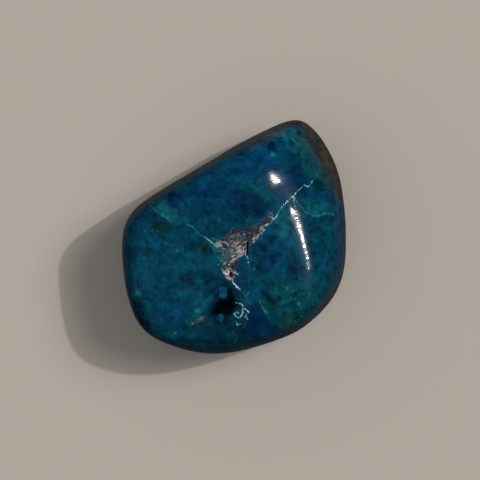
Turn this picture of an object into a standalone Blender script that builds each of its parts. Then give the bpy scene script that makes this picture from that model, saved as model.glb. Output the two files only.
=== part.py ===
# A tumbled chrysocolla: one polished, rounded stone with a rough hollow worn open in its top.
# The tables hold millimetres and degrees. The model is in metres, +Z up, and it stands with
# the middle of its footprint on the origin.

import math

import bmesh
import bpy
import numpy as np
from mathutils import Vector, noise

MM = 0.001

# Worn faces: the azimuth and elevation that each one looks along, in degrees, and its
# distance in millimetres from the heart of the stone. The stone is what they enclose.
WORN_FACES = {
    "upper left side": (120, 6, 8.7),
    "top corner": (64, 10, 16.0),
    "top right side": (32, 10, 15.25),
    "right side": (0, 8, 12.75),
    "lower right side": (-37, 6, 13.25),
    "bottom right side": (-69, 5, 12.9),
    "bottom side": (-102, 4, 13.9),
    "lower left corner": (-133, 4, 15.95),
    "left side": (-170, 4, 13.2),
    "upper left corner": (158, 8, 12.55),
    "crown": (195, 84, 7.4),
    "shoulder": (30, 80, 8.5),
    "ridge slope": (14, 44, 11.2),
    "upper right slope": (50, 50, 11.3),
    "lower slope": (-80, 50, 13.2),
    "left slope": (185, 50, 13.6),
    "upper left slope": (119, 46, 10.9),
    "belly": (0, -90, 7.0),
    "belly right": (24, -56, 9.2),
    "belly left": (165, -55, 8.5),
    "belly front": (-95, -57, 8.9),
    "belly back": (112, -50, 8.3),
}
EDGE_SHARPNESS = 12.0  # 2 melts the faces into one ball, 40 leaves crisp edges

# The heart's place over the middle of the footprint. Its height sets where the belly is
# worn flat, which is what the stone rests on.
HEART = (-0.04, 0.04, 6.6)

# Broad waves that tumbling leaves in the faces: wavelength and height in millimetres.
WAVES = ((7.0, 0.16), (2.6, 0.035))

# The rough hollow as seen from above: one pit made of broad strokes between two points
# measured from the heart. Each is x, y of its start, x, y of its end, and its half width.
HOLLOW_STROKES = (
    (-1.10, -1.00, 0.80, -1.20, 1.00),
    (-0.30, -0.60, 1.60, 0.00, 0.85),
    (0.05, 0.20, 2.40, 0.35, 0.80),
    (2.40, 0.65, 4.05, 2.30, 0.42),
    (-0.20, -2.10, -0.60, -3.10, 0.95),
    (-0.60, -3.20, -0.45, -4.30, 0.68),
)
HOLLOW_BLEND = 0.14  # how softly the strokes run together
HOLLOW_DEPTH = 0.80
HOLLOW_WALL = 0.75  # how far in from its rim the hollow reaches its depth
HOLLOW_LUMPS = (0.80, 0.45)  # size and height of the lumps on its floor
HOLLOW_RIM = (0.60, 0.16)  # size and reach of the notches in its rim

# Fineness of the faceted solid.
BALL_LEVEL = 5  # icosphere subdivisions
HOLLOW_REFINEMENTS = 2
REFINED_MARGIN = 0.7  # millimetres round the hollow

STONE_COLOUR = (0.012, 0.115, 0.155, 1.0)
STONE_ROUGHNESS = 0.16


def face_vectors():
    """Each worn face's outward direction divided by its distance from the heart."""
    rows = []
    for azimuth, elevation, distance in WORN_FACES.values():
        a, e = math.radians(azimuth), math.radians(elevation)
        out = np.array((math.cos(a) * math.cos(e), math.sin(a) * math.cos(e), math.sin(e)))
        rows.append(out / distance)
    return np.array(rows)


def worn_form(directions):
    """Points and outward normals where rays from the heart leave the worn faces."""
    vectors = face_vectors()
    reach = np.maximum(directions @ vectors.T, 0.0)
    total = (reach**EDGE_SHARPNESS).sum(axis=1) ** (1.0 / EDGE_SHARPNESS)
    normals = reach ** (EDGE_SHARPNESS - 1.0) @ vectors
    normals /= np.linalg.norm(normals, axis=1, keepdims=True)
    return directions / total[:, None], normals


def lumps(points, size, high):
    """Smooth random relief of the given size and height at each point."""
    return np.array([high * noise.noise(Vector(p) / size) for p in points])


def beyond_stroke(points, stroke):
    """How far each point lies outside one stroke of the hollow, seen from above."""
    x0, y0, x1, y1, half_width = stroke
    run = np.array((x1 - x0, y1 - y0))
    away = points[:, :2] - np.array((x0, y0))
    along = np.clip(away @ run / (run @ run), 0.0, 1.0)
    return np.linalg.norm(away - along[:, None] * run, axis=1) - half_width


def beyond_hollow(points):
    """How far each point lies outside the hollow's rim; negative inside it."""
    total = sum(np.exp(-beyond_stroke(points, s) / HOLLOW_BLEND) for s in HOLLOW_STROKES)
    on_top = points[:, 2] > 0.0
    return np.where(on_top, -HOLLOW_BLEND * np.log(total), np.inf)


def hollow_depth(points):
    """The depth of the hollow below the polish, with the lumps of its floor."""
    to_rim = -(beyond_hollow(points) + lumps(points, *HOLLOW_RIM))
    inside = np.clip(to_rim / HOLLOW_WALL, 0.0, 1.0)
    steep = inside * inside * (3.0 - 2.0 * inside)
    return steep * (HOLLOW_DEPTH + lumps(points, *HOLLOW_LUMPS))


def stone_points(directions):
    """The stone's surface along each direction, in millimetres from the heart."""
    points, normals = worn_form(directions)
    lift = sum(lumps(points, *wave) for wave in WAVES) - hollow_depth(points)
    points = points + normals * lift[:, None]
    points[:, 2] = np.maximum(points[:, 2], -HEART[2])  # the belly worn flat
    return points


def directions_of(bm):
    return np.array([v.co.normalized() for v in bm.verts])


def refine_at_hollow(bm):
    """Splits the ball's faces over the hollow, so that its rim and floor show."""
    for _ in range(HOLLOW_REFINEMENTS):
        margin = beyond_hollow(worn_form(directions_of(bm))[0])
        near = [v for v, away in zip(bm.verts, margin) if away < REFINED_MARGIN]
        edges = {edge for v in near for edge in v.link_edges}
        bmesh.ops.subdivide_edges(bm, edges=list(edges), cuts=1, use_grid_fill=True)
        bmesh.ops.triangulate(bm, faces=bm.faces[:])
        for v in bm.verts:
            v.co.normalize()


def stone_mesh():
    bm = bmesh.new()
    bmesh.ops.create_icosphere(bm, subdivisions=BALL_LEVEL, radius=1.0)
    refine_at_hollow(bm)
    for v, point in zip(bm.verts, stone_points(directions_of(bm))):
        v.co = (Vector(point) + Vector(HEART)) * MM
    mesh = bpy.data.meshes.new("tumbled_stone")
    bm.to_mesh(mesh)
    bm.free()
    mesh.shade_smooth()
    return mesh


def polished_chrysocolla():
    material = bpy.data.materials.new("polished_chrysocolla")
    material.use_nodes = True
    shader = material.node_tree.nodes["Principled BSDF"]
    shader.inputs["Base Color"].default_value = STONE_COLOUR
    shader.inputs["Roughness"].default_value = STONE_ROUGHNESS
    shader.inputs["Metallic"].default_value = 0.0
    return material


def clear_scene():
    for old in list(bpy.data.objects):
        bpy.data.objects.remove(old)


def main():
    clear_scene()
    collection = bpy.data.collections.new("chrysocolla_specimen")
    bpy.context.scene.collection.children.link(collection)
    stone = bpy.data.objects.new("tumbled_stone", stone_mesh())
    stone.data.materials.append(polished_chrysocolla())
    collection.objects.link(stone)


main()
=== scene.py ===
import math

import bmesh
import bpy
import numpy as np
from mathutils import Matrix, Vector, noise


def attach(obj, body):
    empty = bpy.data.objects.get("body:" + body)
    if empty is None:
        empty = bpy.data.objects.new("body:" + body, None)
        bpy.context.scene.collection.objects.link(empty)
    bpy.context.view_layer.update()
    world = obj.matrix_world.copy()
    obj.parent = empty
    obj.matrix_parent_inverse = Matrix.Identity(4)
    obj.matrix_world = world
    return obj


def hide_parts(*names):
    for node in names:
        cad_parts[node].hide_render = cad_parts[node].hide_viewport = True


# A tumbled chrysocolla, finished: fine form, rough hollow, cracks, mineral colours and polish.
# Lengths in the tables are millimetres from the heart of the stone, x right and y up as seen
# from above. The scene itself is in metres. Colours are screen values from 0 to 255, but for
# those of the lights and the room, which are shares of 1.

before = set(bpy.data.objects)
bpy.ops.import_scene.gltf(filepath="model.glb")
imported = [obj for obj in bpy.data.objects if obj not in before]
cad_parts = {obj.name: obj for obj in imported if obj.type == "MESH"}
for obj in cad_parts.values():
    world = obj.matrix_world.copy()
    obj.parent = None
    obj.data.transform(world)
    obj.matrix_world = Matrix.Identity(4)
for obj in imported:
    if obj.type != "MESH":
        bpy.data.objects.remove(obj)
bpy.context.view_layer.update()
toMetres = 0.001


def addObject(name, data):
    thing = bpy.data.objects.new(name, data)
    bpy.context.scene.collection.objects.link(thing)
    return thing


def newMaterial(name):
    material = bpy.data.materials.new(name)
    material.use_nodes = True
    tree = material.node_tree
    return material, tree, tree.nodes["Principled BSDF"].inputs


# The stone's form. The worn faces, the heart and the hollow are those of the solid.
stoneForm = {
    # azimuth, elevation (degrees) and distance from the heart
    "wornFaces": {
        "upper left side": (120, 6, 8.7),
        "top corner": (64, 10, 16.0),
        "top right side": (32, 10, 15.25),
        "right side": (0, 8, 12.75),
        "lower right side": (-37, 6, 13.25),
        "bottom right side": (-69, 5, 12.9),
        "bottom side": (-102, 4, 13.9),
        "lower left corner": (-133, 4, 15.95),
        "left side": (-170, 4, 13.2),
        "upper left corner": (158, 8, 12.55),
        "crown": (195, 84, 7.4),
        "shoulder": (30, 80, 8.5),
        "ridge slope": (14, 44, 11.2),
        "upper right slope": (50, 50, 11.3),
        "lower slope": (-80, 50, 13.2),
        "left slope": (185, 50, 13.6),
        "upper left slope": (119, 46, 10.9),
        "belly": (0, -90, 7.0),
        "belly right": (24, -56, 9.2),
        "belly left": (165, -55, 8.5),
        "belly front": (-95, -57, 8.9),
        "belly back": (112, -50, 8.3),
    },
    "edgeSharpness": 12.0,
    "heart": (-0.04, 0.04, 6.6),
    "waves": ((7.0, 0.16), (2.6, 0.035), (1.1, 0.005)),  # size and height
    # places worn to lean a little: x, y, half length, half width, turn, and the azimuth and
    # elevation in degrees that the place looks along
    "leans": (
        (4.5, 6.55, 1.7, 1.55, -42, 22.5, 71.0),
        (6.55, 2.8, 0.9, 0.5, -60, 14.0, 70.0),
        (7.25, 1.48, 0.82, 0.5, -70, 22.5, 71.0),
    ),
    "leastLean": 0.01,  # a lean isn't worked out where its share is below this
    # the faint crest that holds the long highlight: x, y of its points, height and half width
    "crest": {
        "points": (
            (6.95, 2.3, 0.0), (7.26, 1.45, 0.0), (7.66, -0.17, 0.0), (8.02, -1.39, 0.0),
            (8.46, -2.95, 0.0), (8.64, -3.7, 0.0),
        ),
        "height": 0.035,
        "halfWidth": 0.8,
    },
    "dents": ((8.75, -4.6, 0.6, 0.012),),  # shallow: x, y, radius, depth
    "dentSteepness": 2.0,
    "farAway": 9.0,  # half widths away at which a lean, the crest or a dent is gone
    "ballLevel": 7,  # icosphere subdivisions
    "fineSteps": 2,  # times that the faces at the hollow and the marks are split
    "fineMargin": 0.18,  # how far round the cracks and the threads
    "fineMarginAtHollow": 0.45,
    "fineMarginAtSpecks": 0.12,
}

# The rough hollow: strokes as x, y of the start, x, y of the end, half width.
hollowForm = {
    "strokes": (
        (-1.1, -1.0, 0.8, -1.2, 1.0),
        (-0.3, -0.6, 1.6, 0.0, 0.85),
        (0.05, 0.2, 2.4, 0.35, 0.8),
        (2.4, 0.65, 4.05, 2.3, 0.42),
        (-0.2, -2.1, -0.6, -3.1, 0.95),
        (-0.6, -3.2, -0.45, -4.3, 0.68),
    ),
    "blend": 0.14,
    "depth": 0.8,
    "wall": 0.75,  # how far in from the rim it reaches its depth
    "around": 0.8,  # how far outside the rim anything of it may show
    "lumps": (0.8, 0.45),  # size and height of the lumps on its floor
    "fineLumps": (0.22, 0.1),
    "rim": (0.6, 0.16),  # size and reach of the notches in its rim
    "fineRim": (0.17, 0.06),
    "roughFrom": 0.05,  # where inside the rim the rough floor starts to show
    "roughFade": 0.35,
    "roughPatches": (0.45, 0.75, 1.3),  # size, level and contrast
}

# The pale crust in the hollow: short thin strokes that cross each other over a dark bed.
crustForm = {
    "seed": 11,
    "height": 0.1,
    "rise": 0.25,  # how far in from the rim it has its full height
    "halfWidths": (0.026, 0.062),
    "softEdge": 1.7,  # half widths at which a stroke has faded out
    "taper": 0.6,  # how much thinner the strokes' ends are
    "lengths": (0.5, 1.2),  # shortest and longest, as shares of the group's length
    "tones": (0.55, 1.0),  # dullest and palest, as shares of the group's tone
    "bend": (0.5, 0.11),  # size and reach of the bends in the strokes
    "bendOffset": 7.0,  # keeps the bends across apart from the bends along
    "fray": (0.3, 0.6),  # size and reach of the spikes of crust past the rim
    "pastRim": 0.16,
    "rimFade": 0.22,
    "speckle": (0.13, 0.45, 1.7),  # size, level and contrast of its specks
    "speckleTones": (0.78, 0.22),  # the least tone, and what the specks add
    "film": 0.08,  # how pale the film between the strokes is
    "filmPastRim": 0.05,
    "filmFade": 0.2,
    "coveredCracks": {"long crack": 4.7},  # it covers this crack up to this x
    "coverFade": 0.7,
    "coverDimming": 0.65,
    # groups of strokes: x, y, half length, half width and turn of the oval that they fill, how
    # many, the way they run, how far they stray from it, their length, how pale they are
    "groups": {
        "middle": (0.72, -1.35, 0.72, 0.8, 0, 17, 31, 12, 0.85, 1.0),
        "middle cross": (0.9, -1.1, 0.5, 0.6, 0, 5, 80, 25, 0.5, 0.7),
        "by the slot": (1.28, -1.25, 0.6, 0.03, 90, 3, 90, 4, 0.8, 0.95),
        "lower edge": (0.4, -2.4, 1.0, 0.26, 28, 8, 29, 9, 1.0, 0.95),
        "left": (-0.95, -1.12, 0.95, 0.42, -22, 14, -24, 18, 0.7, 0.78),
        "left margin": (-1.45, -2.6, 0.75, 0.12, 62, 4, 62, 20, 0.4, 0.55),
        "arch": (-0.2, -0.4, 0.8, 0.42, 30, 8, 40, 35, 0.5, 0.46),
        "upper": (0.85, 0.35, 1.2, 0.6, 10, 14, 60, 60, 0.3, 0.24),
        "between": (-0.7, -3.25, 0.62, 0.5, 60, 9, 55, 45, 0.42, 0.6),
        "lower lump": (-0.38, -4.2, 0.66, 0.5, -40, 22, -38, 50, 0.5, 1.0),
        "right strip": (2.62, 0.02, 1.2, 0.24, 52, 18, 52, 22, 0.5, 0.72),
        "ribbon": (3.66, 1.22, 0.85, 0.2, 28, 17, 32, 25, 0.42, 0.7),
        "ear": (4.15, 2.32, 0.58, 0.17, -55, 11, -52, 28, 0.34, 0.66),
    },
}

# The slot beside the hollow's crust, painted near black as its shadow: x, y of its ends and half
# width.
slotForm = {"stroke": (1.52, -0.72, 1.5, -1.95, 0.085), "depth": 0.55, "softEdge": 1.5}

# How cracks and threads are drawn: how far round them anything shows, size and reach of the
# bends in their edges, the softness of the edge and where it lies, and size, level and contrast
# of the patches where they fade to their dimmest.
crackLook = {
    "around": 0.25,
    "bends": (0.15, 0.07),
    "softness": 0.08,
    "edge": 0.4,
    "patches": (0.3, 0.75, 1.8),
    "dimmest": 0.45,
}
threadLook = {
    "around": 0.45,
    "bends": (0.3, 0.13),
    "softness": 0.3,
    "edge": 0.5,
    "patches": (0.45, 0.6, 1.6),
    "dimmest": 0.45,
    "brightness": 0.8,
}

# Cracks: their depth, how pale the filling is, and x, y and half width at each point. The two haze
# rays are painted highlight haze, drawn as faint cracks.
crackForm = {
    "long crack": (0.05, 0.84, (
        (1.8, -1.0, 0.07), (2.51, -0.36, 0.11), (2.83, 0.17, 0.12), (3.05, 0.92, 0.09),
        (3.37, 1.24, 0.11), (4.01, 1.45, 0.13), (4.38, 1.88, 0.09), (4.76, 2.2, 0.07),
        (5.06, 2.84, 0.06), (5.72, 3.58, 0.055), (6.36, 4.22, 0.09), (6.62, 4.48, 0.15),
        (7.1, 5.05, 0.06), (7.49, 5.4, 0.04), (7.92, 5.76, 0.04), (8.34, 5.57, 0.09),
        (8.66, 5.91, 0.05), (8.8, 6.23, 0.06),
    )),
    # painted highlight: two pale rays of highlight haze below the knot
    "knot ray": (0.01, 0.8, ((6.58, 4.38, 0.06), (6.72, 3.75, 0.04), (6.86, 3.05, 0.03))),
    "right knot ray": (0.01, 0.66, ((6.72, 4.3, 0.05), (7.1, 3.72, 0.035), (7.42, 3.42, 0.03))),
    "left crack start": (0.02, 0.46, (
        (-5.1, 1.28, 0.05), (-4.63, 1.11, 0.06), (-3.89, 0.28, 0.055), (-3.25, -0.04, 0.05),
    )),
    "left crack": (0.05, 0.78, (
        (-3.25, -0.04, 0.05), (-2.82, -0.36, 0.09), (-2.34, -0.79, 0.09), (-1.75, -1.22, 0.07),
    )),
    "beside the left crack": (0.01, 0.5, (
        (-2.45, -0.16, 0.03), (-2.1, -0.28, 0.05), (-1.8, -0.42, 0.03),
    )),
    "lower dash": (0.05, 0.88, (
        (-0.3, -4.92, 0.05), (0.08, -5.26, 0.08), (0.4, -5.66, 0.11), (0.74, -5.93, 0.05),
    )),
    "dash tail": (0.02, 0.55, ((0.75, -5.93, 0.03), (1.29, -6.6, 0.05), (1.45, -6.72, 0.05))),
    "thin crack": (0.01, 0.36, (
        (1.62, -2.66, 0.05), (1.68, -3.19, 0.035), (1.77, -4.1, 0.03), (1.73, -5.06, 0.05),
        (1.71, -5.7, 0.03),
    )),
    "thin crack head": (0.03, 0.6, ((1.47, -2.18, 0.08), (1.58, -2.5, 0.08), (1.66, -2.95, 0.03))),
    "thin crack foot": (0.02, 0.56, (
        (1.71, -5.95, 0.03), (1.61, -6.34, 0.06), (1.39, -6.79, 0.06), (1.55, -7.41, 0.03),
    )),
    "lower right crack": (0.02, 0.62, (
        (2.83, -6.93, 0.03), (3.05, -7.62, 0.04), (3.37, -8.15, 0.09), (3.6, -8.42, 0.17),
    )),
    "bottom crack": (0.02, 0.42, (
        (-0.14, -10.55, 0.04), (0.18, -10.95, 0.05), (0.32, -11.4, 0.06), (0.1, -12.0, 0.05),
    )),
    "curl": (0.04, 0.9, (
        (0.22, -7.38, 0.04), (0.81, -7.51, 0.08), (1.07, -7.89, 0.1), (1.4, -8.16, 0.05),
        (1.7, -8.47, 0.08),
    )),
    "inner curl": (0.04, 0.84, (
        (1.02, -7.95, 0.06), (0.97, -8.58, 0.1), (0.7, -9.05, 0.09), (0.3, -9.0, 0.05),
        (0.02, -8.62, 0.05), (0.35, -8.4, 0.06), (0.62, -8.62, 0.04),
    )),
    "curl beads": (0.03, 0.72, ((1.45, -8.5, 0.06), (1.3, -8.95, 0.09), (1.61, -9.26, 0.08))),
    "curl foot": (0.03, 0.62, ((0.2, -9.4, 0.06), (0.42, -9.9, 0.1), (0.88, -9.66, 0.06))),
}

# Faint teal threads that lie in the stone, and one line of painted highlight haze: how pale, and x, y
# and half width at each point.
threadForm = {
    "leaf rim": (0.66, (
        (7.55, 3.3, 0.04), (8.0, 2.72, 0.06), (9.1, 2.25, 0.1), (10.4, 2.6, 0.09),
        (11.2, 2.45, 0.05),
    )),
    "tip line": (0.5, ((5.85, 12.05, 0.05), (6.35, 12.2, 0.07), (6.85, 11.85, 0.05))),
    "tip thread": (0.34, ((5.95, 10.3, 0.03), (6.6, 9.75, 0.05), (7.25, 9.35, 0.04))),
    "wedge top": (0.52, (
        (-9.4, 3.5, 0.03), (-8.5, 2.7, 0.06), (-7.85, 2.35, 0.1), (-7.3, 2.0, 0.1),
        (-6.9, 1.55, 0.06),
    )),
    "wedge edge": (0.4, ((-6.7, 1.38, 0.03), (-5.9, 1.4, 0.04), (-5.1, 1.36, 0.05))),
    "branch": (0.3, ((-7.4, 5.2, 0.04), (-7.6, 4.4, 0.05), (-7.5, 3.6, 0.04), (-7.1, 3.1, 0.05))),
    "by brown": (0.34, ((8.55, 8.5, 0.04), (8.95, 7.8, 0.06), (9.2, 7.1, 0.05), (9.9, 6.5, 0.07))),
    "by brown low": (0.3, ((9.6, 7.6, 0.03), (9.5, 6.9, 0.05), (9.15, 6.5, 0.04))),
    "middle left": (0.36, (
        (-7.7, -0.6, 0.04), (-7.1, -0.95, 0.07), (-6.6, -1.35, 0.1), (-6.2, -1.6, 0.05),
    )),
    "ring": (0.28, (
        (-5.2, -2.9, 0.05), (-4.5, -3.2, 0.06), (-4.2, -3.8, 0.05), (-4.7, -4.5, 0.06),
        (-5.4, -4.5, 0.04),
    )),
    "low streak": (0.26, (
        (-4.3, -8.9, 0.05), (-3.5, -7.7, 0.06), (-2.7, -6.7, 0.05), (-1.9, -6.1, 0.03),
    )),
    # painted highlight: pale haze by the highlight on the ridge
    "painted highlight haze": (0.42, ((4.9, 2.55, 0.03), (5.3, 2.35, 0.05), (5.9, 2.45, 0.03))),
}

# Small pale specks. What says how they are drawn is counted in their radii, but for the
# size of the bends in their edges.
speckForm = {
    "around": 2.0,
    "bends": (0.12, 0.7),
    "edge": 1.45,
    "softness": 1.1,
    "brightness": 0.75,
    # x, y, radius, how pale
    "places": (
        (5.98, -5.75, 0.14, 0.55), (6.3, -6.82, 0.13, 0.5), (7.21, -7.51, 0.2, 0.48),
        (2.25, -3.56, 0.17, 0.42), (8.49, -6.34, 0.13, 0.48), (-1.7, 1.82, 0.16, 0.35),
        (1.5, 1.77, 0.17, 0.32), (4.3, 9.15, 0.24, 0.5), (-7.95, 2.35, 0.17, 0.62),
        (-7.45, 2.05, 0.16, 0.66), (-10.05, -2.45, 0.2, 0.34), (-6.35, -1.62, 0.18, 0.4),
        (8.15, -3.05, 0.14, 0.62), (8.05, -3.45, 0.1, 0.5), (-4.62, -9.72, 0.13, 0.8),
        (-6.55, -10.75, 0.14, 0.66), (-7.35, -10.75, 0.08, 0.6), (-10.6, -6.3, 0.22, 0.34),
        (7.6, -8.9, 0.18, 0.4), (6.9, -9.5, 0.13, 0.44), (8.9, -7.6, 0.1, 0.4),
        (3.3, -10.9, 0.12, 0.3), (-9.9, 0.6, 0.18, 0.3), (9.3, -0.4, 0.1, 0.34),
    ),
}


def lookingAlong(azimuth, elevation):
    a = math.radians(azimuth)
    e = math.radians(elevation)
    return np.array((math.cos(a) * math.cos(e), math.sin(a) * math.cos(e), math.sin(e)))


def faceVectors():
    rows = []
    for azimuth, elevation, distance in stoneForm["wornFaces"].values():
        rows.append(lookingAlong(azimuth, elevation) / distance)
    return np.array(rows)


def wornForm(directions):
    # points and outward normals where rays from the heart leave the worn faces
    sharp = stoneForm["edgeSharpness"]
    vectors = faceVectors()
    reach = np.maximum(directions @ vectors.T, 0.0)
    total = (reach**sharp).sum(axis=1) ** (1.0 / sharp)
    normals = reach ** (sharp - 1.0) @ vectors
    normals /= np.linalg.norm(normals, axis=1, keepdims=True)
    return directions / total[:, None], normals


def relief(points, size, high):
    return np.array([high * noise.noise(Vector(p) / size) for p in points])


def smooth(value):
    t = np.clip(value, 0.0, 1.0)
    return t * t * (3.0 - 2.0 * t)


def patchy(points, size, level, contrast):
    # 0 to 1 in random patches, with fewer gaps at a higher level
    return smooth(level + relief(points, size, contrast))


def onTop(points, values, below):
    # the values where a point is on the upper half, and the one given below it
    return np.where(points[:, 2] > 0.0, values, below)


def strokeGap(points, x0, y0, x1, y1):
    # distance from above to the line between two points, and the share of the way along it
    run = np.array((x1 - x0, y1 - y0))
    away = points[:, :2] - np.array((x0, y0))
    along = np.clip(away @ run / (run @ run), 0.0, 1.0)
    return np.linalg.norm(away - along[:, None] * run, axis=1), along


def ovalReach(points, x, y, long, wide, turn):
    # 0 in the middle of an oval seen from above, 1 on its edge
    a = math.radians(turn)
    dx = points[:, 0] - x
    dy = points[:, 1] - y
    along = (dx * math.cos(a) + dy * math.sin(a)) / long
    across = (dy * math.cos(a) - dx * math.sin(a)) / wide
    return onTop(points, np.hypot(along, across), np.inf)


def beyondHollow(points):
    # distance to the hollow's rim, negative inside it
    blend = hollowForm["blend"]
    total = np.zeros(len(points))
    for x0, y0, x1, y1, halfWidth in hollowForm["strokes"]:
        gap, along = strokeGap(points, x0, y0, x1, y1)
        total += np.exp(-(gap - halfWidth) / blend)
    return onTop(points, -blend * np.log(total), np.inf)


def beyondLine(points, ends):
    # distance to the edge of a line of changing width, negative inside it
    nearest = np.full(len(points), np.inf)
    for (x0, y0, w0), (x1, y1, w1) in zip(ends[:-1], ends[1:]):
        gap, along = strokeGap(points, x0, y0, x1, y1)
        nearest = np.minimum(nearest, gap - (w0 + (w1 - w0) * along))
    return onTop(points, nearest, np.inf)


def needsFineFaces(points):
    near = beyondHollow(points) < stoneForm["fineMarginAtHollow"]
    lines = [ends for depth, pale, ends in crackForm.values()]
    lines += [ends for pale, ends in threadForm.values()]
    for ends in lines:
        near |= beyondLine(points, ends) < stoneForm["fineMargin"]
    for x, y, radius, pale in speckForm["places"]:
        fine = radius + stoneForm["fineMarginAtSpecks"]
        near |= ovalReach(points, x, y, fine, fine, 0) < 1.0
    return near


def crustStrokes(points):
    # how pale the nearest stroke of crust is at each point, 0 between the strokes
    chance = np.random.default_rng(crustForm["seed"])
    bentPoints = points.copy()
    bentPoints[:, 0] += relief(points, *crustForm["bend"])
    bentPoints[:, 1] += relief(points + crustForm["bendOffset"], *crustForm["bend"])
    palest = np.zeros(len(points))
    for x, y, long, wide, turn, count, way, stray, length, pale in crustForm["groups"].values():
        a = math.radians(turn)
        for i in range(count):
            along, across = chance.uniform(-1.0, 1.0, 2) * (long, wide)
            w = math.radians(way + chance.uniform(-stray, stray))
            half = 0.5 * length * chance.uniform(*crustForm["lengths"])
            midX = x + along * math.cos(a) - across * math.sin(a)
            midY = y + along * math.sin(a) + across * math.cos(a)
            stepX = half * math.cos(w)
            stepY = half * math.sin(w)
            halfWidth = chance.uniform(*crustForm["halfWidths"])
            tone = pale * chance.uniform(*crustForm["tones"])
            ends = (midX - stepX, midY - stepY, midX + stepX, midY + stepY)
            gap, share = strokeGap(bentPoints, *ends)
            taper = 1.0 - crustForm["taper"] * np.abs(2.0 * share - 1.0) ** 2
            faded = (crustForm["softEdge"] * halfWidth * taper - gap) / halfWidth
            palest = np.maximum(palest, tone * smooth(faded))
    return onTop(points, palest, 0.0)


def wearLeans(points):
    # how far the polish moves to bring out the leaning places, the crest and the dents
    lift = np.zeros(len(points))
    far = stoneForm["farAway"]
    for x, y, long, wide, turn, azimuth, elevation in stoneForm["leans"]:
        share = np.exp(-(np.minimum(ovalReach(points, x, y, long, wide, turn), far) ** 2))
        near = share > stoneForm["leastLean"]
        weight = share[near]
        away = points[near, :2] - np.array((x, y))
        plane = np.column_stack((np.ones(len(away)), away)) * weight[:, None]
        slope = np.linalg.lstsq(plane, points[near, 2] * weight, rcond=None)[0][1:]
        out = lookingAlong(azimuth, elevation)
        lift[near] += weight * (away @ (-out[:2] / out[2] - slope))
    crest = stoneForm["crest"]
    away = beyondLine(points, crest["points"]) / crest["halfWidth"]
    lift += crest["height"] * np.exp(-(np.minimum(away, far) ** 2))
    for x, y, radius, depth in stoneForm["dents"]:
        reach = np.minimum(ovalReach(points, x, y, radius, radius, 0), far)
        lift -= depth * np.exp(-stoneForm["dentSteepness"] * reach**2)
    return lift


def carveHollow(points, lift, marks):
    near = beyondHollow(points) < hollowForm["around"]
    pits = points[near]
    beyond = beyondHollow(pits)
    toRim = -(beyond + relief(pits, *hollowForm["rim"]) + relief(pits, *hollowForm["fineRim"]))
    floor = hollowForm["depth"] + relief(pits, *hollowForm["lumps"])
    floor += relief(pits, *hollowForm["fineLumps"])
    lift[near] -= smooth(toRim / hollowForm["wall"]) * floor
    rough = smooth((toRim - hollowForm["roughFrom"]) / hollowForm["roughFade"])
    marks["hollow"][near] = rough * patchy(pits, *hollowForm["roughPatches"])

    frayed = -beyond + relief(pits, *crustForm["fray"])
    strokes = crustStrokes(pits) * smooth((frayed + crustForm["pastRim"]) / crustForm["rimFade"])
    lift[near] += smooth(toRim / crustForm["rise"]) * strokes * crustForm["height"]
    speckle = patchy(pits, *crustForm["speckle"])
    film = smooth((toRim + crustForm["filmPastRim"]) / crustForm["filmFade"])
    film = crustForm["film"] * speckle * film
    leastTone, moreTone = crustForm["speckleTones"]
    marks["crust"][near] = np.maximum(strokes * (leastTone + moreTone * speckle), film)


def carveSlot(points, lift, marks):
    x0, y0, x1, y1, halfWidth = slotForm["stroke"]
    gap, along = strokeGap(points, x0, y0, x1, y1)
    shadedSlot = smooth((halfWidth * slotForm["softEdge"] - gap) / halfWidth)
    marks["shadedSlot"] = onTop(points, shadedSlot, 0.0)
    lift -= marks["shadedSlot"] * slotForm["depth"]


def drawLine(points, ends, look):
    # which points are near a line, how far it covers them, and how bright it is there
    close = beyondLine(points, ends) < look["around"]
    edge = beyondLine(points[close], ends) + relief(points[close], *look["bends"])
    cover = smooth(look["edge"] - edge / look["softness"])
    bright = patchy(points[close], *look["patches"])
    return close, cover, look["dimmest"] + (1.0 - look["dimmest"]) * bright


def drawMarks(points, lift, marks):
    # the cracks, which are cut into the polish, and the threads and the specks, which aren't; some of
    # the lines are painted highlight haze
    vein = marks["vein"]
    for name, (depth, pale, ends) in crackForm.items():
        close, groove, bright = drawLine(points, ends, crackLook)
        lift[close] -= groove * depth
        coveredTo = crustForm["coveredCracks"].get(name, -math.inf)
        covered = smooth((coveredTo - points[close][:, 0]) / crustForm["coverFade"])
        glow = groove * pale * bright * (1.0 - crustForm["coverDimming"] * covered)
        vein[close] = np.maximum(vein[close], glow)
    for pale, ends in threadForm.values():
        close, thread, bright = drawLine(points, ends, threadLook)
        glow = threadLook["brightness"] * pale * thread * bright
        vein[close] = np.maximum(vein[close], glow)
    for x, y, radius, pale in speckForm["places"]:
        close = ovalReach(points, x, y, radius, radius, 0) < speckForm["around"]
        reach = ovalReach(points[close], x, y, radius, radius, 0)
        reach += relief(points[close], *speckForm["bends"])
        cover = smooth((speckForm["edge"] - reach) / speckForm["softness"])
        glow = speckForm["brightness"] * pale * cover
        vein[close] = np.maximum(vein[close], glow)


def stoneSurface(directions):
    # the finished surface along each direction, with the masks that its marks need
    points, normals = wornForm(directions)
    lift = sum(relief(points, *wave) for wave in stoneForm["waves"])
    lift += wearLeans(points + normals * lift[:, None])
    marks = {name: np.zeros(len(points)) for name in ("hollow", "crust", "vein", "shadedSlot")}
    carveHollow(points, lift, marks)
    carveSlot(points, lift, marks)
    drawMarks(points, lift, marks)
    points = points + normals * lift[:, None]
    points[:, 2] = np.maximum(points[:, 2], -stoneForm["heart"][2])  # the belly worn flat
    return points, marks


def directionsOf(bm):
    return np.array([v.co.normalized() for v in bm.verts])


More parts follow.
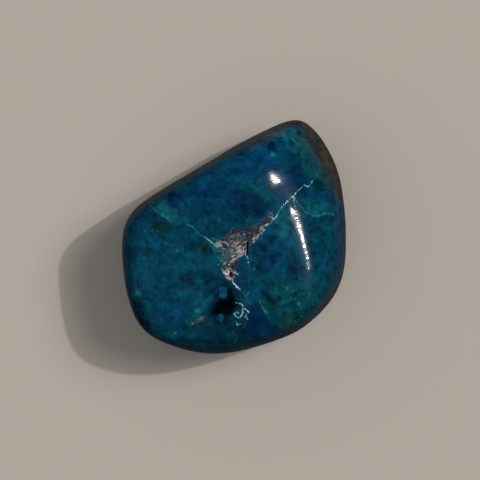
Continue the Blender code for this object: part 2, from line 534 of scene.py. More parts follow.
def splitNearMarks(bm):
    for step in range(stoneForm["fineSteps"]):
        fine = needsFineFaces(wornForm(directionsOf(bm))[0])
        near = [v for v, wanted in zip(bm.verts, fine) if wanted]
        edges = {edge for v in near for edge in v.link_edges}
        bmesh.ops.subdivide_edges(bm, edges=list(edges), cuts=1, use_grid_fill=True)
        bmesh.ops.triangulate(bm, faces=bm.faces[:])
        for v in bm.verts:
            v.co.normalize()


def makeStone():
    bm = bmesh.new()
    bmesh.ops.create_icosphere(bm, subdivisions=stoneForm["ballLevel"], radius=1.0)
    splitNearMarks(bm)
    points, marks = stoneSurface(directionsOf(bm))
    mesh = bpy.data.meshes.new("polishedStone")
    bm.to_mesh(mesh)
    bm.free()
    placed = (points + np.array(stoneForm["heart"])) * toMetres
    mesh.vertices.foreach_set("co", placed.astype(np.float32).ravel())
    for name, values in marks.items():
        attribute = mesh.attributes.new(name, "FLOAT", "POINT")
        attribute.data.foreach_set("value", values.astype(np.float32))
    mesh.shade_smooth()
    mesh.update()
    print("stone:", len(mesh.polygons), "triangles")
    return addObject("polishedStone", mesh)


def topPoint(x, y):
    # the point of the worn form straight over x, y, found by halving the height that holds it
    vectors = faceVectors()
    sharp = stoneForm["edgeSharpness"]
    low = 0.0
    high = 12.0  # above the whole stone
    for step in range(30):
        middle = (low + high) / 2.0
        reach = np.maximum(vectors @ np.array((x, y, middle)), 0.0)
        if (reach**sharp).sum() < 1.0:
            low = middle
        else:
            high = middle
    return (x, y, low)


def srgb(red, green, blue):
    # a colour as read off a screen, 0 to 255, as the linear values that nodes take
    values = []
    for c in (red, green, blue):
        c = c / 255.0
        values.append(c / 12.92 if c <= 0.04045 else ((c + 0.055) / 1.055) ** 2.4)
    return (*values, 1.0)


def fillSocket(tree, socket, value):
    if isinstance(value, bpy.types.NodeSocket):
        tree.links.new(value, socket)
    else:
        socket.default_value = value


def addNode(tree, kind, inputs=None, **settings):
    # a node with its settings; an input is a value or another node's socket
    node = tree.nodes.new(kind)
    for name, value in settings.items():
        setattr(node, name, value)
    for key, value in (inputs or {}).items():
        fillSocket(tree, node.inputs[key], value)
    return node


def mathNode(tree, operation, *values):
    return addNode(tree, "ShaderNodeMath", dict(enumerate(values)), operation=operation).outputs[0]


def product(tree, first, second):
    return mathNode(tree, "MULTIPLY", first, second)


def vectorNode(tree, operation, *values):
    node = addNode(tree, "ShaderNodeVectorMath", dict(enumerate(values)), operation=operation)
    return node.outputs[0]


def scaleVector(tree, vector, scale):
    inputs = {0: vector, "Scale": scale}
    return addNode(tree, "ShaderNodeVectorMath", inputs, operation="SCALE").outputs[0]


def turnBack(tree, vector, turn):
    # a vector turned about Z by the opposite of an angle
    inputs = {"Vector": vector, "Angle": product(tree, turn, -1.0)}
    return addNode(tree, "ShaderNodeVectorRotate", inputs, rotation_type="Z_AXIS").outputs[0]


def mixColour(tree, share, first, second):
    # a colour is another node's socket or screen values
    node = addNode(tree, "ShaderNodeMix", {0: share}, data_type="RGBA")
    for index, colour in ((6, first), (7, second)):
        fillSocket(tree, node.inputs[index], srgb(*colour) if isinstance(colour, tuple) else colour)
    return node.outputs[2]


def ramp(tree, value, low, high, toLow=0.0, toHigh=1.0):
    inputs = {"Value": value, "From Min": low, "From Max": high, "To Min": toLow, "To Max": toHigh}
    node = addNode(tree, "ShaderNodeMapRange", inputs, interpolation_type="SMOOTHSTEP")
    return node.outputs["Result"]


def cloudNoise(tree, point, scale, detail, output="Fac"):
    inputs = {"Vector": point, "Scale": scale, "Detail": detail, "Roughness": 0.5}
    return addNode(tree, "ShaderNodeTexNoise", inputs).outputs[output]


# Clouds of noise: how many to the millimetre, their detail, the levels between which they
# change, and what they give at those where that isn't 0 and 1.
cloudLooks = {
    "ground": (0.3, 3.0, 0.38, 0.62),
    "thin places": (1.5, 3.0, 0.34, 0.6, 0.45, 1.0),
    "broad clouds": (0.75, 3.0, 0.3, 0.7),
    "grain": (2.6, 3.0, 0.3, 0.7),
    "wedge": (0.6, 2.0, 0.35, 0.65),
    "wisp places": (0.42, 2.0, 0.48, 0.66),
    "seam places": (0.5, 2.0, 0.42, 0.58),
    "films": (0.5, 3.0, 0.56, 0.74),
    "hollow's bed": (2.2, 3.0, 0.36, 0.64),
    "crust grains": (3.0, 2.0, 0.35, 0.65),
}


def clouds(tree, point, name):
    scale, detail, *levels = cloudLooks[name]
    return ramp(tree, cloudNoise(tree, point, scale, detail), *levels)


def newGroup(name, inputs, output, kind="NodeSocketFloat"):
    # inputs are name: default, which is None for a vector
    group = bpy.data.node_groups.new(name, "ShaderNodeTree")
    for label, default in inputs.items():
        inputKind = "NodeSocketVector" if default is None else "NodeSocketFloat"
        socket = group.interface.new_socket(label, in_out="INPUT", socket_type=inputKind)
        if default is not None:
            socket.default_value = default
    group.interface.new_socket(output, in_out="OUTPUT", socket_type=kind)
    start = group.nodes.new("NodeGroupInput")
    end = group.nodes.new("NodeGroupOutput")
    return group, start.outputs, end.inputs[output]


def placeGroup(tree, group, inputs):
    node = tree.nodes.new("ShaderNodeGroup")
    node.node_tree = group
    for key, value in inputs.items():
        fillSocket(tree, node.inputs[key], value)
    return node.outputs[0]


def makeWarpGroup():
    # moves a point by noise, so that what is drawn at it gets a natural edge
    inputs = {"Point": None, "Size": 1.0, "Reach": 0.3}
    group, start, end = newGroup("warpedPoint", inputs, "Point", "NodeSocketVector")
    frequency = mathNode(group, "DIVIDE", 1.0, start["Size"])
    cloud = cloudNoise(group, start["Point"], frequency, 2.0, "Color")
    centred = vectorNode(group, "SUBTRACT", cloud, (0.5, 0.5, 0.5))
    shift = scaleVector(group, centred, start["Reach"])
    group.links.new(vectorNode(group, "ADD", start["Point"], shift), end)
    return group


def makePatchGroup(blocky):
    # 1 inside a lump of mineral and 0 outside it; the lump is a ball or a rounded block
    inputs = {"Point": None, "Centre": None, "Radii": None, "Turn": 0.0, "Softness": 0.2}
    if blocky:
        inputs["Blockiness"] = 3.0
    group, start, end = newGroup("blockPatch" if blocky else "ballPatch", inputs, "Mask")
    away = vectorNode(group, "SUBTRACT", start["Point"], start["Centre"])
    scaled = vectorNode(group, "DIVIDE", turnBack(group, away, start["Turn"]), start["Radii"])
    if blocky:
        power = start["Blockiness"]
        parts = addNode(group, "ShaderNodeSeparateXYZ", {0: vectorNode(group, "ABSOLUTE", scaled)})
        terms = [mathNode(group, "POWER", parts.outputs[i], power) for i in range(3)]
        total = mathNode(group, "ADD", mathNode(group, "ADD", terms[0], terms[1]), terms[2])
        length = mathNode(group, "POWER", total, mathNode(group, "DIVIDE", 1.0, power))
    else:
        node = addNode(group, "ShaderNodeVectorMath", {0: scaled}, operation="LENGTH")
        length = node.outputs["Value"]
    outer = mathNode(group, "ADD", 1.0, start["Softness"])
    inner = mathNode(group, "SUBTRACT", 1.0, start["Softness"])
    group.links.new(ramp(group, length, outer, inner), end)
    return group


def makeWedgeGroup():
    # 1 inside a wedge that opens from its tip and fades out at its length
    sizes = {"Turn": 0.0, "Opening": 0.4, "Length": 4.0, "Softness": 0.15}
    inputs = {"Point": None, "Tip": None, **sizes}
    group, start, end = newGroup("mineralWedge", inputs, "Mask")
    away = vectorNode(group, "SUBTRACT", start["Point"], start["Tip"])
    parts = addNode(group, "ShaderNodeSeparateXYZ", {0: turnBack(group, away, start["Turn"])})
    along = parts.outputs["X"]
    across = mathNode(group, "ABSOLUTE", parts.outputs["Y"])
    inside = mathNode(group, "SUBTRACT", product(group, along, start["Opening"]), across)
    sides = ramp(group, inside, 0.0, start["Softness"])
    fadeFrom = product(group, start["Length"], 0.7)  # the last 0.3 of its length
    reach = ramp(group, along, start["Length"], fadeFrom)
    nearTop = ramp(group, parts.outputs["Z"], -4.0, -3.0)  # it ends 4 mm under its tip
    group.links.new(product(group, product(group, sides, reach), nearTop), end)
    return group


def makeCloudGroup():
    # the stone's own mottling as a brightness round 1: broad clouds, small cells and fine grain
    inputs = {"Point": None, "Clouds": 0.3, "Cells": 0.2, "Grain": 0.1}
    group, start, end = newGroup("mineralClouds", inputs, "Tone")
    point = start["Point"]
    cellInputs = {"Vector": point, "Scale": mottling["cellScale"], "Smoothness": 0.6}
    cell = addNode(group, "ShaderNodeTexVoronoi", cellInputs, feature="SMOOTH_F1")
    layers = {
        "Clouds": clouds(group, point, "broad clouds"),
        "Cells": ramp(group, cell.outputs["Distance"], *mottling["cellLevels"]),
        "Grain": clouds(group, point, "grain"),
    }
    tone = 1.0
    for name, layer in layers.items():
        part = product(group, mathNode(group, "SUBTRACT", layer, 0.5), start[name])
        tone = mathNode(group, "ADD", tone, part)
    group.links.new(tone, end)
    return group


# The mineral patches, and at the rims some painted sheen, reflection and shade: colour, x, y,
# half length, half width, turn in degrees, and then the softness of the edge, the strength, and
# how deep the patch goes.
mineralPatches = {
    "deep blue top": ((1, 56, 94), 0.7, 7.2, 5.6, 2.4, 32, 0.6, 0.8, 4.0),
    "left sea": ((1, 64, 86), -8.2, -2.9, 4.4, 4.6, 0, 0.6, 0.75, 5.0),
    "upper middle": ((1, 50, 82), -2.4, 4.0, 3.6, 1.9, 20, 0.6, 0.8, 3.0),
    "lower left": ((0, 56, 82), -7.0, -8.0, 3.2, 2.2, -35, 0.6, 0.7, 4.0),
    "right sea": ((2, 57, 74), 9.8, -1.3, 2.3, 3.6, 0, 0.6, 0.75, 5.0),
    "right of crack": ((6, 80, 94), 5.2, 1.2, 1.3, 1.9, 0, 0.6, 0.8, 2.0),
    "blue cells": ((0, 42, 74), 3.7, -1.8, 1.9, 2.2, 0, 0.45, 0.8, 2.5),
    "lower right": ((2, 64, 66), 7.0, -7.0, 3.4, 2.4, 35, 0.6, 0.85, 4.0),
    "below hollow": ((2, 62, 72), 3.4, -4.9, 1.6, 1.2, 10, 0.55, 0.7, 2.0),
    "bottom": ((2, 36, 40), -1.3, -11.3, 4.2, 1.4, 5, 0.6, 0.92, 3.0),
    "arc light": ((2, 76, 92), 2.5, 4.9, 2.9, 0.75, -24, 0.5, 0.7, 2.0),
    "arc shade": ((0, 34, 62), 1.5, 3.6, 2.7, 1.35, -24, 0.12, 0.9, 2.0),
    "arc foot": ((1, 50, 74), -0.2, 2.2, 3.2, 1.1, -5, 0.5, 0.75, 2.0),
    "navy centre": ((0, 28, 70), 7.2, 7.1, 1.2, 2.0, 15, 0.6, 0.8, 2.5),
    "teal tip": ((2, 90, 100), 6.6, 11.2, 1.25, 1.5, 0, 0.55, 0.85, 2.5),
    "green seam": ((0, 64, 54), 7.8, 9.0, 0.55, 2.0, 22, 0.5, 0.75, 2.0),
    "tip haze": ((38, 66, 78), 7.9, 10.8, 0.6, 2.2, 24, 0.8, 0.7, 2.0),
    "green by brown": ((12, 58, 54), 9.4, 7.3, 0.9, 2.2, 25, 0.8, 0.7, 2.0),
    "dark by leaf": ((0, 34, 36), 9.4, 5.85, 0.9, 0.5, -12, 0.5, 0.85, 1.2),
    "navy by leaf": ((10, 46, 80), 10.8, 4.2, 0.95, 0.9, -20, 0.5, 0.75, 2.0),
    "leaf": ((2, 82, 90), 8.95, 3.35, 2.7, 1.15, 4, 0.26, 0.94, 1.8),
    "leaf foot": ((8, 98, 102), 9.3, 2.8, 1.7, 0.4, 2, 0.5, 0.75, 1.2),
    "leaf vein": ((0, 52, 62), 9.5, 3.75, 1.1, 0.16, 12, 0.6, 0.7, 0.9),
    "black line": ((2, 10, 14), 9.8, 5.15, 0.6, 0.14, 0, 0.5, 0.85, 0.8),
    "olive corner": ((16, 58, 42), 6.0, -9.9, 1.7, 1.0, 28, 0.5, 0.85, 2.5),
    "green shade": ((2, 38, 34), -8.0, 0.9, 1.15, 0.95, -8, 0.5, 0.9, 1.5),
    "pale wedge": ((14, 88, 94), -7.0, 2.55, 2.0, 0.6, -14, 0.7, 0.5, 1.2),
    "wedge foot": ((6, 78, 90), -6.0, 1.95, 1.2, 0.4, -3, 0.3, 0.6, 1.0),
    "navy left top": ((0, 26, 66), -6.6, 4.1, 0.8, 0.75, 10, 0.35, 0.85, 1.5),
    "navy left rim": ((0, 30, 56), -11.5, -1.8, 0.8, 1.0, 0, 0.5, 0.85, 2.5),
    "teal spot": ((10, 98, 98), -10.8, -6.3, 0.45, 0.36, 0, 0.5, 0.7, 1.5),
    "green spot": ((0, 44, 34), -11.0, -7.2, 0.4, 0.3, 0, 0.5, 0.75, 1.5),
    "cells dark left": ((0, 30, 52), -5.3, -4.9, 1.3, 0.8, 30, 0.6, 0.55, 2.0),
    "dark blotch": ((0, 26, 38), -2.9, -4.5, 1.0, 0.5, -15, 0.5, 0.8, 1.2),
    "hollow's dark": ((8, 32, 30), -3.2, -1.35, 0.95, 0.55, -28, 0.5, 0.9, 1.2),
    "hollow's teal": ((2, 96, 96), -1.86, -1.85, 0.95, 0.36, -58, 0.35, 0.8, 1.0),
    "navy spot": ((0, 12, 46), 4.2, 10.1, 0.5, 0.55, 0, 0.4, 0.9, 1.0),
    "pale dot": ((6, 84, 98), 4.4, 9.0, 0.55, 0.3, 8, 0.4, 0.75, 0.8),
    "black halo": ((0, 20, 32), -1.0, -6.9, 1.85, 2.3, 4, 0.5, 0.9, 1.6),
    "low halo": ((0, 18, 28), -1.35, -9.1, 1.05, 0.85, 10, 0.5, 0.9, 1.2),
    "black": ((0, 2, 4), -0.95, -7.7, 1.2, 0.8, 8, 0.45, 1.0, 1.4),
    "black column": ((0, 7, 13), -0.42, -6.5, 0.38, 0.8, 8, 0.6, 0.95, 1.0),
    "black corner": ((0, 2, 4), -1.95, -8.35, 0.8, 0.45, 28, 0.6, 0.95, 1.0),
    "black by curls": ((0, 4, 8), 0.1, -7.75, 0.66, 0.6, 0, 0.6, 0.95, 1.0),
    "black foot": ((0, 3, 6), -0.55, -8.55, 0.55, 0.34, 0, 0.6, 0.95, 1.0),
    "blue block": ((1, 74, 104), -1.22, -6.2, 0.44, 0.58, -8, 0.24, 0.98, 1.2),
    "small blue block": ((2, 70, 84), -1.42, -9.12, 0.28, 0.42, 8, 0.34, 0.96, 1.0),
    "curl ground": ((4, 52, 60), 0.85, -8.5, 0.8, 0.85, 0, 0.6, 0.7, 1.0),
    "crescent": ((0, 26, 32), 4.05, -6.95, 1.45, 0.3, -42, 0.5, 0.85, 1.0),
    "lens": ((4, 80, 74), 3.35, -7.35, 0.95, 0.36, -48, 0.45, 0.75, 1.0),
    "teal streak": ((2, 86, 98), -3.15, -7.5, 1.55, 0.3, 50, 0.5, 0.6, 1.0),
    "teal halo": ((4, 100, 102), -3.85, -8.25, 0.48, 0.26, 15, 0.45, 0.85, 0.8),
    "teal by beige": ((8, 100, 98), -4.9, -9.7, 0.42, 0.42, 0, 0.5, 0.75, 0.8),
    "beige spot": ((100, 96, 86), -3.72, -9.2, 0.42, 0.2, 33, 0.9, 0.85, 0.6),
    "beige crumb": ((88, 92, 84), -4.25, -9.55, 0.3, 0.15, 20, 0.9, 0.75, 0.6),
    # partly the stone's navy, partly painted shade: the dark lower left rim
    "navy rim": ((0, 14, 28), -10.6, -8.8, 2.8, 0.85, -50, 0.5, 0.92, 2.5),
    # partly the stone's brown, partly painted sheen: the brown band round the right rim
    "brown rim and sheen": ((52, 50, 42), 11.45, 8.6, 1.75, 7.6, 24, 0.45, 1.0, 9.0),
    # painted sheen: a pale grey reflection painted along the top rim
    "apex haze": ((66, 70, 72), 3.6, 11.5, 2.9, 0.8, 29, 0.8, 0.9, 3.0),
    # the brown at the tip and the apex: partly the stone's brown, partly painted sheen round the top
    # corner
    "brown tip": ((50, 46, 40), 8.9, 12.6, 2.0, 1.1, -28, 0.5, 0.95, 3.5),
    "brown apex": ((54, 50, 46), 6.6, 13.3, 2.6, 0.85, -4, 0.5, 0.9, 4.0),
    "brown dark": ((34, 28, 20), 12.2, 7.2, 0.6, 5.6, 24, 0.7, 0.75, 7.0),
    "rust": ((58, 26, 26), 8.9, 10.65, 0.7, 0.42, -42, 0.8, 0.75, 1.5),
    "rust streak": ((54, 30, 28), 9.75, 8.95, 1.0, 0.17, -50, 0.8, 0.75, 1.2),
    # painted reflection: a violet band along the right rim
    "violet rim": ((34, 44, 84), 12.2, 1.4, 0.6, 2.8, 0, 0.5, 0.8, 3.5),
}

# Patches that aren't balls: below 2 they come to points, above 2 they are rounded blocks.
blockiness = {
    "leaf": 1.4,
    "navy left top": 2.5,
    "hollow's teal": 1.6,
    "navy spot": 2.5,
    "blue block": 3.6,
    "small blue block": 3.0,
    "brown rim and sheen": 2.2,
}

# The patches of the sides and the underside: colour, x, y and height of the middle, half
# length, half width, half height, turn, softness, strength.
lowPatches = {
    "brown seam back": ((58, 46, 34), -4.0, 8.2, -2.6, 4.2, 1.6, 1.5, 34, 0.6, 0.85),
    "pale back": ((18, 104, 104), 0.5, 9.6, -3.6, 2.2, 2.0, 0.8, 30, 0.6, 0.7),
    "navy left": ((0, 28, 64), -12.2, 1.5, -3.2, 2.4, 3.0, 1.5, 0, 0.6, 0.8),
    "green left": ((4, 62, 44), -11.5, -5.5, -3.5, 2.4, 2.6, 1.2, 0, 0.6, 0.75),
    "brown front": ((50, 42, 32), -3.6, -12.4, -3.8, 3.2, 2.0, 1.0, -8, 0.7, 0.8),
    "pale front": ((20, 108, 108), 1.6, -12.6, -2.6, 1.8, 1.6, 0.7, 5, 0.6, 0.7),
    "navy front": ((0, 30, 68), 6.2, -10.8, -3.4, 2.6, 2.0, 1.4, 20, 0.6, 0.8),
    "green right": ((2, 58, 48), 11.4, -5.2, -3.0, 1.8, 2.8, 1.3, 0, 0.6, 0.8),
    "pale right": ((16, 98, 104), 12.2, -0.8, -3.8, 2.0, 2.2, 0.8, 0, 0.6, 0.65),
    "brown belly": ((60, 50, 38), 2.5, 2.5, -6.4, 4.6, 1.5, 1.6, 40, 0.6, 0.85),
    "navy belly": ((0, 30, 62), -3.5, -3.0, -6.4, 3.4, 2.4, 1.8, -20, 0.6, 0.8),
    "pale belly": ((18, 100, 98), 1.0, -4.5, -6.4, 2.6, 0.9, 1.2, 15, 0.6, 0.7),
    "brown corner": ((54, 48, 40), 6.8, 10.2, -3.2, 4.2, 3.0, 2.0, -30, 0.6, 0.85),
}

stoneColours = {
    "blue": (1, 52, 82),
    "teal": (2, 62, 78),
    "crispBelow": 1.6,  # patches whose longer half is below this have the crisp edge
    "solidFrom": 0.95,  # patches as strong as this have no thin places
    "wedge": {
        "tip": (2.09, -6.45),
        "turn": -80,
        "opening": 0.46,
        "length": 5.4,
        "softness": 0.34,
        "dark": (0, 28, 66),
        "light": (1, 42, 78),
        "strength": 0.9,
        "calm": 0.6,  # how much of the mottling it takes away
    },
    "quiet": ((-1.0, -7.5), (1.6, 1.6, 2.0), 0.3),  # no wisps or films: centre, radii, softness
}

# How the patches' edges run: the point that each starts from, then size and reach of its bends.
edgeLooks = {
    "loose": ("plain", 2.4, 1.5),
    "frayed": ("loose", 0.6, 0.45),
    "bent": ("plain", 0.6, 0.34),
    "crisp": ("bent", 0.24, 0.16),
}

# What runs through all the patches.
mottling = {
    "clouds": 0.66,
    "grain": 0.4,
    "cells": 0.32,
    "cellScale": 1.25,
    "cellLevels": (0.15, 0.75),  # distances from a cell's middle, dark up to pale, in cells
    "cellsAtTheirPlaces": 0.75,
    # where the small dark cells show most: x, y, radius
    "cellPlaces": (
        (3.8, -1.7, 3.0), (-4.9, -4.6, 2.4), (8.8, -3.5, 2.6),
        (6.8, -7.2, 3.0), (6.4, 10.6, 2.2), (5.4, 1.2, 1.8),
    ),
    "cellDepth": 3.0,
    "cellSoftness": 0.5,
    "wisp": (18, 108, 112),
    "wispScale": 0.55,
    "wispWidth": 0.016,  # in levels of its noise
    "wispStrength": 0.34,
    "wispsLowDown": (0.7, 0.26),  # how many more and how much stronger there
    "wispHeights": (2.5, -1.0),  # where low down begins, and where it is complete
    "seam": (96, 150, 150),
    "seamScale": 0.16,
    "seamWidths": (0.016, 0.003),  # of the whole seam and of its core, in cells
    "seamHeights": (0.6, -1.4),
    "seamStrength": 0.75,
    "film": (1, 44, 44),
    "filmStrength": 0.4,
}

# The hollow and what has grown in it and in the cracks, and the painted shadow in the slot.
hollowLook = {
    "bed": ((18, 15, 18), (54, 48, 48)),
    "bedStrength": 0.86,
    "green": (52, 96, 86),
    "greenPlace": ((-0.75, -2.1), (0.95, 0.8, 2.0), 0.6),  # centre, radii, softness
    "veinEdge": (34, 118, 124),
    "veinEdgeLevels": (0.0, 0.55),
    "vein": (178, 196, 204),
    "veinLevels": (0.45, 0.95),
    "crust": (218, 208, 212),
    # painted shadow: near black in the slot
    "shadedSlot": (1, 2, 5),
}

# The polish, a little uneven, with ripples that cross the places that hold the highlights.
polish = {
    "roughness": 0.12,
    "roughnessOfCrust": 0.7,
    "roughVein": (0.5, 0.9, 0.0, 0.8),  # from and up to this paleness, and how rough there
    "ior": 1.5,
    "coat": 0.22,
    "coatRoughness": 0.23,
    "bumpHeight": 0.00002,  # metres
    "unevenness": 0.3,
    "unevenScale": 1.9,
    "ripples": (0.34, 1.5),  # elsewhere and at the highlights
    "rippleScale": (1.9, 0.8, 0.8),
    "rippleTurn": -75,  # the way that they follow each other, in degrees
    # where they are strong: centre, radii, softness
    "rippled": (((4.4, 6.7), (2.2, 2.2, 2.2), 0.5), ((7.9, -0.4), (2.0, 4.2, 3.0), 0.4)),
}


def placePatch(tree, patch, point, centre, radii, softness, turn=0.0, **more):
    # a patch whose centre has only x and y lies on the top
    inputs = {
        "Point": point,
        "Centre": centre if len(centre) == 3 else topPoint(*centre),
        "Radii": radii,
        "Softness": softness,
        "Turn": math.radians(turn),
    }
    return placeGroup(tree, patch, {**inputs, **more})


def paintGround(tree, points, ball):
    # the ground, clouded between blue and teal, and the mineral patches over it
    block = makePatchGroup(True)
    thin = clouds(tree, points["crisp"], "thin places")
    share = clouds(tree, points["loose"], "ground")
    colour = mixColour(tree, share, stoneColours["blue"], stoneColours["teal"])
    for name, row in mineralPatches.items():
        tint, x, y, long, wide, turn, soft, strength, deep = row
        point = points["crisp" if max(long, wide) < stoneColours["crispBelow"] else "frayed"]
        place = (point, (x, y), (long, wide, deep), soft, turn)
        if name in blockiness:
            mask = placePatch(tree, block, *place, Blockiness=blockiness[name])
        else:
            mask = placePatch(tree, ball, *place)
        mask = product(tree, mask, strength)
        if strength < stoneColours["solidFrom"]:
            mask = product(tree, mask, thin)
        colour = mixColour(tree, mask, colour, tint)
    for tint, x, y, z, long, wide, tall, turn, soft, strength in lowPatches.values():
        radii = (long, wide, tall)
        mask = placePatch(tree, ball, points["frayed"], (x, y, z), radii, soft, turn)
        mask = product(tree, product(tree, mask, strength), thin)
        colour = mixColour(tree, mask, colour, tint)
    return colour


def paintWedge(tree, points, colour):
    look = stoneColours["wedge"]
    inputs = {
        "Point": points["crisp"],
        "Tip": topPoint(*look["tip"]),
        "Turn": math.radians(look["turn"]),
        "Opening": look["opening"],
        "Length": look["length"],
        "Softness": look["softness"],
    }
    wedge = placeGroup(tree, makeWedgeGroup(), inputs)
    tone = clouds(tree, points["frayed"], "wedge")
    inside = mixColour(tree, tone, look["dark"], look["light"])
    return mixColour(tree, product(tree, wedge, look["strength"]), colour, inside), wedge


def paintMottling(tree, points, colour, ball, calm):
    # clouds, cells and grain through everything, calmer where the wedge is
    cells = mottling["cells"]
    for x, y, radius in mottling["cellPlaces"]:
        radii = (radius, radius, mottling["cellDepth"])
        soft = mottling["cellSoftness"]
        mask = placePatch(tree, ball, points["plain"], (x, y), radii, soft)
        mask = product(tree, mask, mottling["cellsAtTheirPlaces"])
        cells = mathNode(tree, "MAXIMUM", cells, mask)
    inputs = {
        "Point": points["frayed"],
        "Clouds": product(tree, calm, mottling["clouds"]),
        "Cells": product(tree, calm, cells),
        "Grain": product(tree, calm, mottling["grain"]),
    }
    return scaleVector(tree, colour, placeGroup(tree, makeCloudGroup(), inputs))


def paintWisps(tree, points, colour, lively):
    # wisps of paler teal, pale seams low down and films of dark green
    more, stronger = mottling["wispsLowDown"]
    field = cloudNoise(tree, points["frayed"], mottling["wispScale"], 3.0)
    ridge = mathNode(tree, "ABSOLUTE", mathNode(tree, "SUBTRACT", field, 0.5))
    height = addNode(tree, "ShaderNodeSeparateXYZ", {0: points["plain"]}).outputs["Z"]
    lowDown = ramp(tree, height, *mottling["wispHeights"])
    place = clouds(tree, points["loose"], "wisp places")
    place = mathNode(tree, "MAXIMUM", place, product(tree, lowDown, more))
    wisps = product(tree, ramp(tree, ridge, mottling["wispWidth"], 0.0), place)
    strength = mathNode(tree, "ADD", product(tree, lowDown, stronger), mottling["wispStrength"])
    share = product(tree, wisps, product(tree, lively, strength))
    colour = mixColour(tree, share, colour, mottling["wisp"])

    inputs = {"Vector": points["frayed"], "Scale": mottling["seamScale"]}
    seams = addNode(tree, "ShaderNodeTexVoronoi", inputs, feature="DISTANCE_TO_EDGE")
    place = clouds(tree, points["loose"], "seam places")
    place = product(tree, place, ramp(tree, height, *mottling["seamHeights"]))
    share = ramp(tree, seams.outputs["Distance"], *mottling["seamWidths"])
    share = product(tree, product(tree, share, place), mottling["seamStrength"])
    colour = mixColour(tree, share, colour, mottling["seam"])

    films = clouds(tree, points["frayed"], "films")
    share = product(tree, films, product(tree, lively, mottling["filmStrength"]))
    return mixColour(tree, share, colour, mottling["film"])


def paintHollow(tree, points, colour, ball, masks):
    # the hollow's bed, then the cracks, the crust and the painted shadow in the slot
    look = hollowLook
    bed = mixColour(tree, clouds(tree, points["plain"], "hollow's bed"), *look["bed"])
    green = placePatch(tree, ball, points["crisp"], *look["greenPlace"])
    bed = mixColour(tree, green, bed, look["green"])
    colour = mixColour(tree, product(tree, masks["hollow"], look["bedStrength"]), colour, bed)
    for name in ("veinEdge", "vein"):
        share = ramp(tree, masks["vein"], *look[name + "Levels"])
        colour = mixColour(tree, share, colour, look[name])
    colour = mixColour(tree, masks["crust"], colour, look["crust"])
    return mixColour(tree, masks["shadedSlot"], colour, look["shadedSlot"])


def addPolish(tree, sockets, points, ball, masks):
    rough = mathNode(tree, "MAXIMUM", masks["hollow"], ramp(tree, masks["vein"], *polish["roughVein"]))
    rough = mathNode(tree, "MAXIMUM", rough, masks["crust"])
    rough = ramp(tree, rough, 0.0, 1.0, polish["roughness"], polish["roughnessOfCrust"])
    tree.links.new(rough, sockets["Roughness"])
    sockets["IOR"].default_value = polish["ior"]
    sockets["Coat Weight"].default_value = polish["coat"]
    sockets["Coat Roughness"].default_value = polish["coatRoughness"]

    uneven = cloudNoise(tree, points["plain"], polish["unevenScale"], 2.0)
    across = turnBack(tree, points["plain"], math.radians(polish["rippleTurn"]))
    stretched = vectorNode(tree, "MULTIPLY", across, polish["rippleScale"])
    ripples = cloudNoise(tree, stretched, 1.0, 2.0)
    rippled = 0.0
    for place in polish["rippled"]:
        mask = placePatch(tree, ball, points["plain"], *place)
        strength = ramp(tree, mask, 0.0, 1.0, *polish["ripples"])
        rippled = mathNode(tree, "MAXIMUM", rippled, strength)
    height = product(tree, uneven, polish["unevenness"])
    height = mathNode(tree, "ADD", height, product(tree, ripples, rippled))
    inputs = {"Height": height, "Strength": 1.0, "Distance": polish["bumpHeight"]}
    bump = addNode(tree, "ShaderNodeBump", inputs)
    tree.links.new(bump.outputs[0], sockets["Normal"])


def makeStoneMaterial():
    material, tree, sockets = newMaterial("polishedChrysocolla")
    ball = makePatchGroup(False)
    warp = makeWarpGroup()

    # millimetres from the heart, then the same with the bends of each kind of edge
    place = addNode(tree, "ShaderNodeTexCoord").outputs["Object"]
    heart = tuple(-c * toMetres for c in stoneForm["heart"])
    points = {"plain": scaleVector(tree, vectorNode(tree, "ADD", place, heart), 1.0 / toMetres)}
    for name, (start, size, reach) in edgeLooks.items():
        inputs = {"Point": points[start], "Size": size, "Reach": reach}
        points[name] = placeGroup(tree, warp, inputs)
    masks = {}
    for name in ("hollow", "crust", "vein", "shadedSlot"):
        node = addNode(tree, "ShaderNodeAttribute", attribute_name=name)
        masks[name] = node.outputs["Fac"]

    colour = paintGround(tree, points, ball)
    colour, wedge = paintWedge(tree, points, colour)
    calm = product(tree, wedge, stoneColours["wedge"]["calm"])
    calm = mathNode(tree, "SUBTRACT", 1.0, calm)
    colour = paintMottling(tree, points, colour, ball, calm)
    quiet = placePatch(tree, ball, points["crisp"], *stoneColours["quiet"])
    lively = mathNode(tree, "SUBTRACT", calm, quiet)
    colour = paintWisps(tree, points, colour, lively)
    colour = paintHollow(tree, points, colour, ball, masks)
    tree.links.new(colour, sockets["Base Color"])
    addPolish(tree, sockets, points, ball, masks)
    return material


# Loose grains of crust on the hollow's ridges.
grainForm = {
    "perSquareMillimetre": 60.0,
    "smallest": 0.018,
    "largest": 0.046,
    "seed": 7,
    "thinnestCrust": 0.12,  # no grains where the crust is fainter
    "dull": (128, 122, 122),
    "pale": (226, 222, 220),
    "roughness": (0.75, 0.45),  # of the dull and of the pale parts
}


def makeGrainMaterial():
    material, tree, sockets = newMaterial("crustGrains")
    place = addNode(tree, "ShaderNodeTexCoord").outputs["Object"]
    share = clouds(tree, scaleVector(tree, place, 1.0 / toMetres), "crust grains")
    colour = mixColour(tree, share, grainForm["dull"], grainForm["pale"])
    tree.links.new(colour, sockets["Base Color"])
    rough = ramp(tree, share, 0.0, 1.0, *grainForm["roughness"])
    tree.links.new(rough, sockets["Roughness"])
    return material


